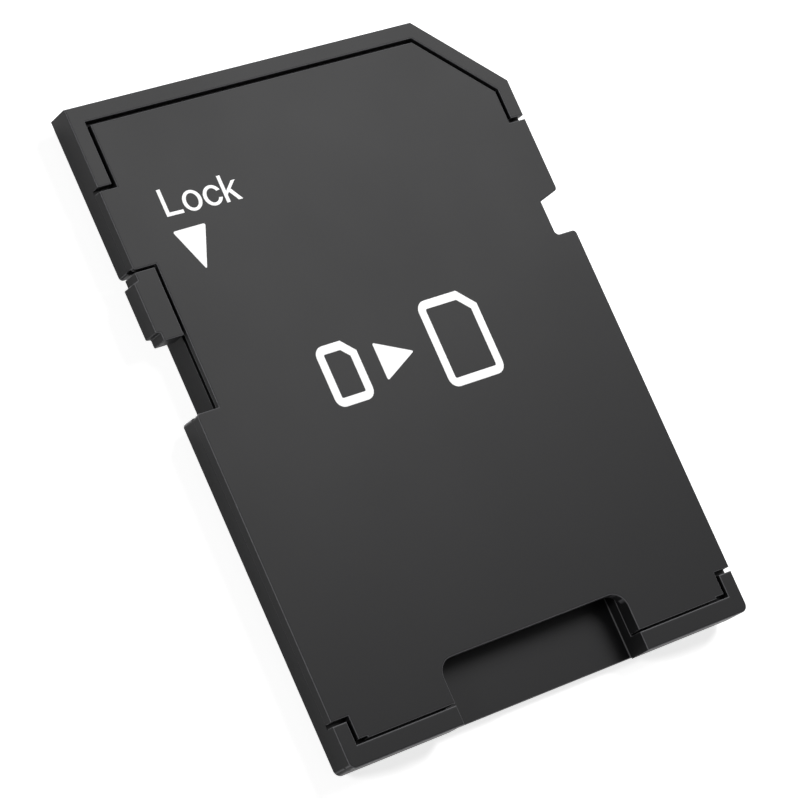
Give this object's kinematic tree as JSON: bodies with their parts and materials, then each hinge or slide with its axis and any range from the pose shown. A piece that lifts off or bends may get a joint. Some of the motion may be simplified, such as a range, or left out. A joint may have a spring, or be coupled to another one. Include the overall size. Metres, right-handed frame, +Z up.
{
  "type": "memory card adapter",
  "caption": "Flat moulded adapter that takes a small memory card at its rear and fits a full-size card reader, with a lock slider on one edge.",
  "frame": {"origin": "centre of the underside, midway between the side edges and between the two ends, on the face that the plateau rests on", "axes": "+Y to the contact end that enters the reader, +Z up through the label side, lock slider on the -X side"},
  "size_m": [0.0242, 0.032, 0.0021],
  "materials": {
    "housing_plastic": "fine matte texture, moulded black",
    "slider_plastic": "fine matte texture, moulded black",
    "carrier_plastic": "moulded black insulator",
    "contact_metal": "stamped strip, thin gold plating",
    "print_ink": "white pad-printed ink",
    "spring_steel": "rolled strip"
  },
  "bodies": {
    "housing": {"bottom_shell": "housing_plastic", "top_cover": "housing_plastic", "contact_carrier": "carrier_plastic", "card_retainer": "spring_steel", "contact_dat2": "contact_metal", "contact_dat3": "contact_metal", "contact_command": "contact_metal", "contact_ground": "contact_metal", "contact_power": "contact_metal", "contact_clock": "contact_metal", "contact_dat0": "contact_metal", "contact_dat1": "contact_metal"},
    "lock_slider": {"lock_slider": "slider_plastic"}
  },
  "joints": [
    {"name": "lock_slide", "type": "slide", "parent": "housing", "child": "lock_slider", "axis": [0, -1, 0], "range_m": [0, 0.00346]}
  ]
}
